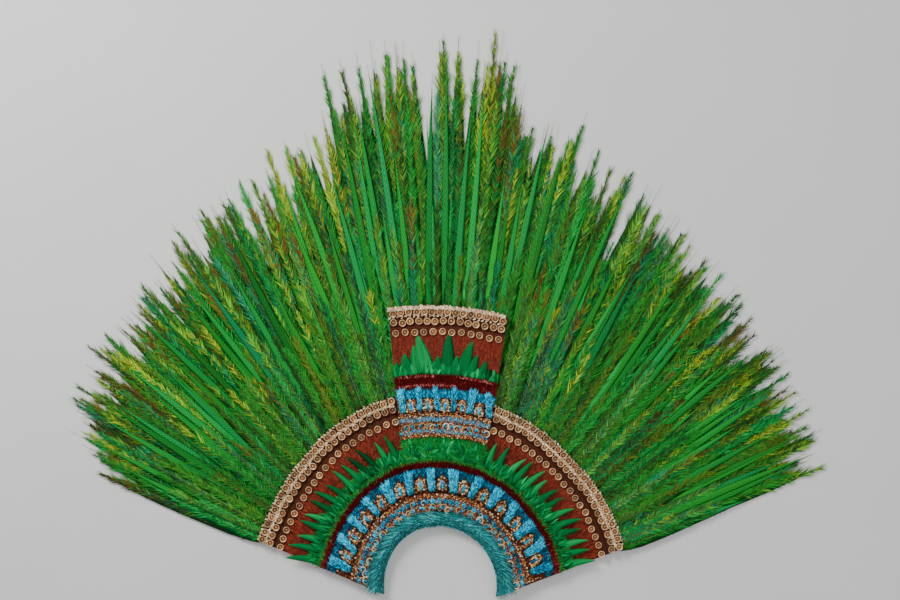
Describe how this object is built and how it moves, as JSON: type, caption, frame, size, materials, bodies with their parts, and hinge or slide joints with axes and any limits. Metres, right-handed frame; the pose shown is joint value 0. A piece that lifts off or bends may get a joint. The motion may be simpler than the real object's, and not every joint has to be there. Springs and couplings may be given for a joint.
{
  "type": "feathered headdress",
  "caption": "Half-ring feathered crown with gold disc bands, a raised middle panel and a wide fan of long green plumes.",
  "frame": {"origin": "middle of the bounding box at the height of the surface that the back rests on", "axes": "+X to the wearer's left across the fan, +Y from the head arch to the plumes' tips, +Z out of the front face"},
  "size_m": [1.7694, 1.3016, 0.0327],
  "materials": {
    "backing": "netted plant fibre, matt",
    "turquoise_feather": "silky short feathers",
    "blue_feather": "fluffy short feathers",
    "red_feather": "hairy dark fringe",
    "green_feather": "glossy small feathers",
    "rust_feather": "matt straight feathers",
    "brown_strip": "dark woven strip",
    "gold_mosaic": "small gold pieces on blue feathers",
    "gold": "hammered, softly worn gold",
    "plume": "iridescent long plumes"
  },
  "bodies": {
    "root": {"blue_band": "blue_feather", "brown_strip": "brown_strip", "crown_base": "backing", "edge_roll": "turquoise_feather", "fan_crest": "plume", "fan_left": "plume", "fan_right": "plume", "gold_rim": "gold", "gold_step_01": "gold", "gold_step_02": "gold", "gold_step_03": "gold", "gold_step_04": "gold", "gold_step_05": "gold", "gold_step_06": "gold", "gold_step_07": "gold", "gold_step_08": "gold", "gold_step_09": "gold", "gold_step_10": "gold", "gold_step_11": "gold", "gold_step_12": "gold", "gold_step_13": "gold", "green_band": "green_feather", "mosaic_band": "gold_mosaic", "panel_base": "backing", "panel_blue_band": "blue_feather", "panel_brown_strip": "brown_strip", "panel_gold_rim": "gold", "panel_gold_step_1": "gold", "panel_gold_step_2": "gold", "panel_gold_step_3": "gold", "panel_gold_step_4": "gold", "panel_gold_step_5": "gold", "panel_green_band": "green_feather", "panel_mosaic_band": "gold_mosaic", "panel_red_fringe": "red_feather", "panel_rust_band": "rust_feather", "red_fringe": "red_feather", "rust_band": "rust_feather"}
  },
  "joints": []
}
